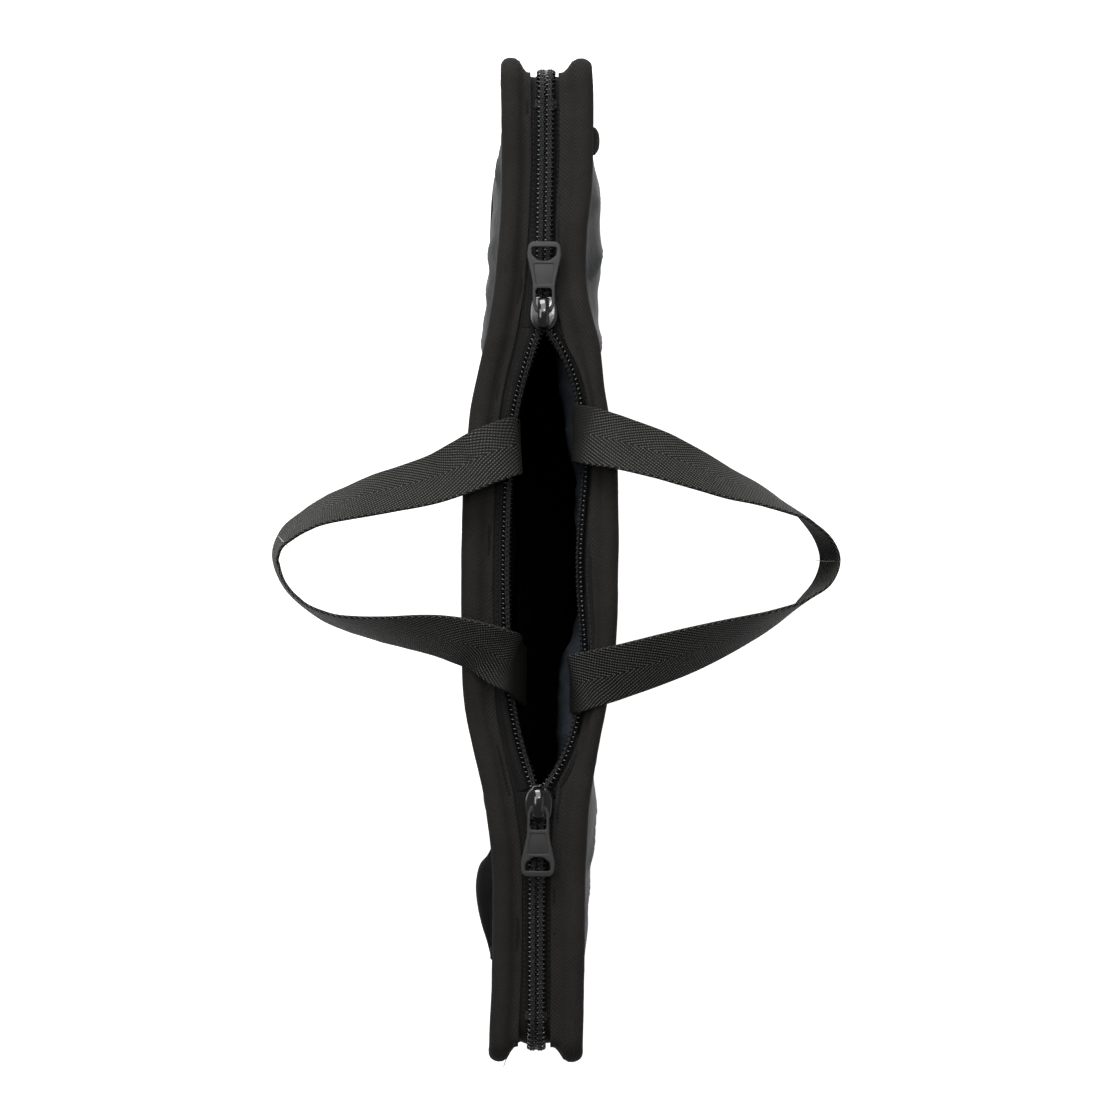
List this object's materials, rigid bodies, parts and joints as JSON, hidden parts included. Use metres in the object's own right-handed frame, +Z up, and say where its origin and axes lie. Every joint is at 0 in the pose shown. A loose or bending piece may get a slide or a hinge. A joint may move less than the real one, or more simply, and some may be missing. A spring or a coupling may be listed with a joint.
{
  "type": "film changing bag",
  "caption": "Slim upright light-tight bag with an open-ended zip mouth, bound rims, webbing carry handles and elasticated arm sleeves on its front.",
  "frame": {"origin": "centre of the base, on the surface that the bag stands on", "axes": "+Z up, +Y along the zip, -X towards the front face with the arm sleeves"},
  "size_m": [0.2443, 0.428, 0.3865],
  "materials": {
    "shell_nylon": "glossy coated nylon",
    "lining_nylon": "satin coated nylon",
    "binding": "herringbone twill tape",
    "zip_tape": "fine woven tape",
    "zip_coil": "glossy nylon coil",
    "zip_metal": "gloss black enamel",
    "pull_metal": "matt black enamel",
    "webbing": "herringbone webbing",
    "elastic": "woven elastic"
  },
  "bodies": {
    "bag": {"back_base_rim": "binding", "back_end_rims": "binding", "back_handle_ends": "webbing", "back_lining": "lining_nylon", "back_panel": "shell_nylon", "back_top_rim": "binding", "back_zip_coil": "zip_coil", "back_zip_tape": "zip_tape", "base_gusset": "shell_nylon", "far_end_gusset": "shell_nylon", "far_sleeve_collar": "shell_nylon", "far_sleeve_fold": "shell_nylon", "front_base_rim": "binding", "front_end_rims": "binding", "front_handle_ends": "webbing", "front_lining": "lining_nylon", "front_panel": "shell_nylon", "front_top_rim": "binding", "front_zip_coil": "zip_coil", "front_zip_tape": "zip_tape", "lining_base": "lining_nylon", "lining_ends": "lining_nylon", "near_end_gusset": "shell_nylon", "near_sleeve_collar": "shell_nylon", "near_sleeve_fold": "shell_nylon", "side_tab": "shell_nylon", "zip_end_stops": "zip_metal"},
    "front_loop": {"front_handle": "webbing"},
    "back_loop": {"back_handle": "webbing"},
    "far_runner": {"far_slider": "zip_metal", "far_slider_bridge": "zip_metal"},
    "near_runner": {"near_slider": "zip_metal", "near_slider_bridge": "zip_metal"},
    "far_tongue": {"far_pull": "pull_metal"},
    "near_tongue": {"near_pull": "pull_metal"},
    "far_arm": {"far_sleeve": "shell_nylon", "far_sleeve_cuff": "shell_nylon", "far_sleeve_elastic": "elastic"},
    "near_arm": {"near_sleeve": "shell_nylon", "near_sleeve_cuff": "shell_nylon", "near_sleeve_elastic": "elastic"}
  },
  "joints": [
    {"name": "front_handle_swing", "type": "hinge", "parent": "bag", "child": "front_loop", "pos_m": [-0.00897, 0, 0.38135], "axis": [0, 1, 0], "range_deg": [0, 95]},
    {"name": "back_handle_swing", "type": "hinge", "parent": "bag", "child": "back_loop", "pos_m": [0.01312, 0, 0.38135], "axis": [0, -1, 0], "range_deg": [0, 90]},
    {"name": "far_slider_travel", "type": "slide", "parent": "bag", "child": "far_runner", "axis": [0, 1, 0], "range_m": [0, 0.082]},
    {"name": "far_pull_flip", "type": "hinge", "parent": "far_runner", "child": "far_tongue", "pos_m": [0, 0.10505, 0.38225], "axis": [1, 0, 0], "range_deg": [0, 160]},
    {"name": "far_sleeve_lift", "type": "hinge", "parent": "bag", "child": "far_arm", "pos_m": [-0.0211, 0.118, 0.285], "axis": [0, 1, 0], "range_deg": [0, 90], "deforming": ["far_sleeve_fold"]},
    {"name": "near_slider_travel", "type": "slide", "parent": "bag", "child": "near_runner", "axis": [0, -1, 0], "range_m": [0, 0.082]},
    {"name": "near_pull_flip", "type": "hinge", "parent": "near_runner", "child": "near_tongue", "pos_m": [0, -0.10505, 0.38225], "axis": [-1, 0, 0], "range_deg": [0, 160]},
    {"name": "near_sleeve_lift", "type": "hinge", "parent": "bag", "child": "near_arm", "pos_m": [-0.0211, -0.118, 0.285], "axis": [0, 1, 0], "range_deg": [0, 90], "deforming": ["near_sleeve_fold"]}
  ]
}
